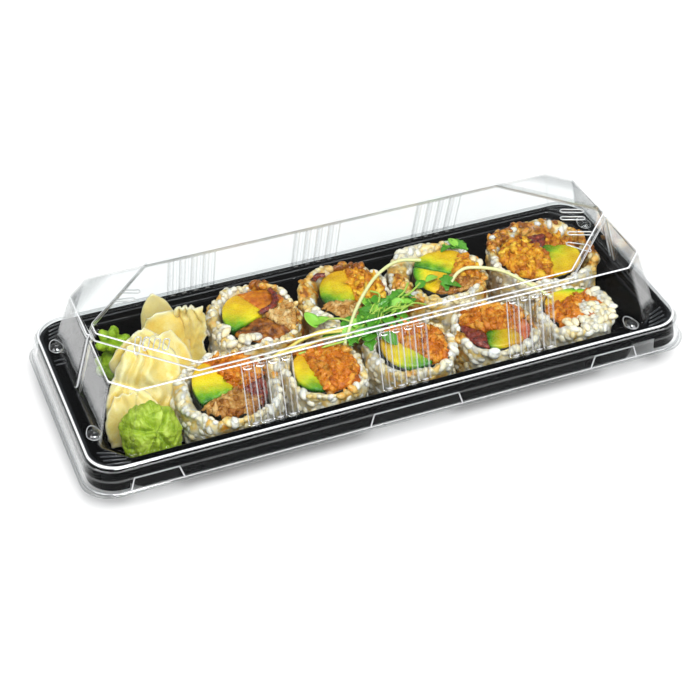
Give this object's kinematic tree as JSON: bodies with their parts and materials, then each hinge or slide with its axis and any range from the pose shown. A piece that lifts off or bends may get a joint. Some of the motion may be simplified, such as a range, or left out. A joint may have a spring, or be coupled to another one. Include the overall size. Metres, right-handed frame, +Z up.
{
  "type": "takeaway sushi tray",
  "caption": "Long black takeaway tray of cut sushi rolls with pickled ginger and wasabi, under a clear press-on lid with a raised six-sided panel.",
  "frame": {"origin": "on the surface the tray stands on, at the middle of the whole", "axes": "+X along the tray's long side, +Y to its back, +Z up"},
  "size_m": [0.224, 0.09, 0.0451],
  "materials": {
    "black_tray": "glossy black thermoformed sheet",
    "clear_lid": "clear glossy thermoformed sheet",
    "rice": "moist cooked short-grain rice",
    "nori": "damp dark seaweed sheet",
    "avocado": "soft ripe flesh, yellow to dark green",
    "salmon": "chopped dressed salmon, orange",
    "carrot": "glossy cooked orange batons",
    "tempura": "crumbly brown batter",
    "beet": "dark red pickled strips",
    "ginger": "thin wet pickled slices, pale yellow",
    "wasabi": "soft green paste"
  },
  "bodies": {
    "root": {"ginger_front": "ginger", "ginger_low": "ginger", "ginger_middle": "ginger", "ginger_ruffled": "ginger", "ginger_tall": "ginger", "lid": "clear_lid", "roll_back_1_avocado": "avocado", "roll_back_1_carrot": "carrot", "roll_back_1_nori": "nori", "roll_back_1_rice": "rice", "roll_back_1_salmon": "salmon", "roll_back_1_tempura": "tempura", "roll_back_2_avocado": "avocado", "roll_back_2_nori": "nori", "roll_back_2_rice": "rice", "roll_back_2_salmon": "salmon", "roll_back_2_tempura": "tempura", "roll_back_3_avocado": "avocado", "roll_back_3_avocado_end": "avocado", "roll_back_3_nori": "nori", "roll_back_3_rice": "rice", "roll_back_3_salmon": "salmon", "roll_back_3_tempura": "tempura", "roll_back_4_avocado": "avocado", "roll_back_4_beet": "beet", "roll_back_4_nori": "nori", "roll_back_4_rice": "rice", "roll_back_4_salmon": "salmon", "roll_back_4_tempura": "tempura", "roll_front_1_avocado": "avocado", "roll_front_1_beet": "beet", "roll_front_1_nori": "nori", "roll_front_1_rice": "rice", "roll_front_1_salmon": "salmon", "roll_front_1_tempura": "tempura", "roll_front_2_avocado": "avocado", "roll_front_2_nori": "nori", "roll_front_2_rice": "rice", "roll_front_2_salmon": "salmon", "roll_front_3_avocado": "avocado", "roll_front_3_nori": "nori", "roll_front_3_rice": "rice", "roll_front_3_salmon": "salmon", "roll_front_4_avocado": "avocado", "roll_front_4_beet": "beet", "roll_front_4_carrot": "carrot", "roll_front_4_nori": "nori", "roll_front_4_rice": "rice", "roll_front_4_salmon": "salmon", "roll_front_5_avocado": "avocado", "roll_front_5_nori": "nori", "roll_front_5_rice": "rice", "roll_front_5_salmon": "salmon", "tray": "black_tray", "wasabi_back": "wasabi", "wasabi_front": "wasabi"}
  },
  "joints": []
}
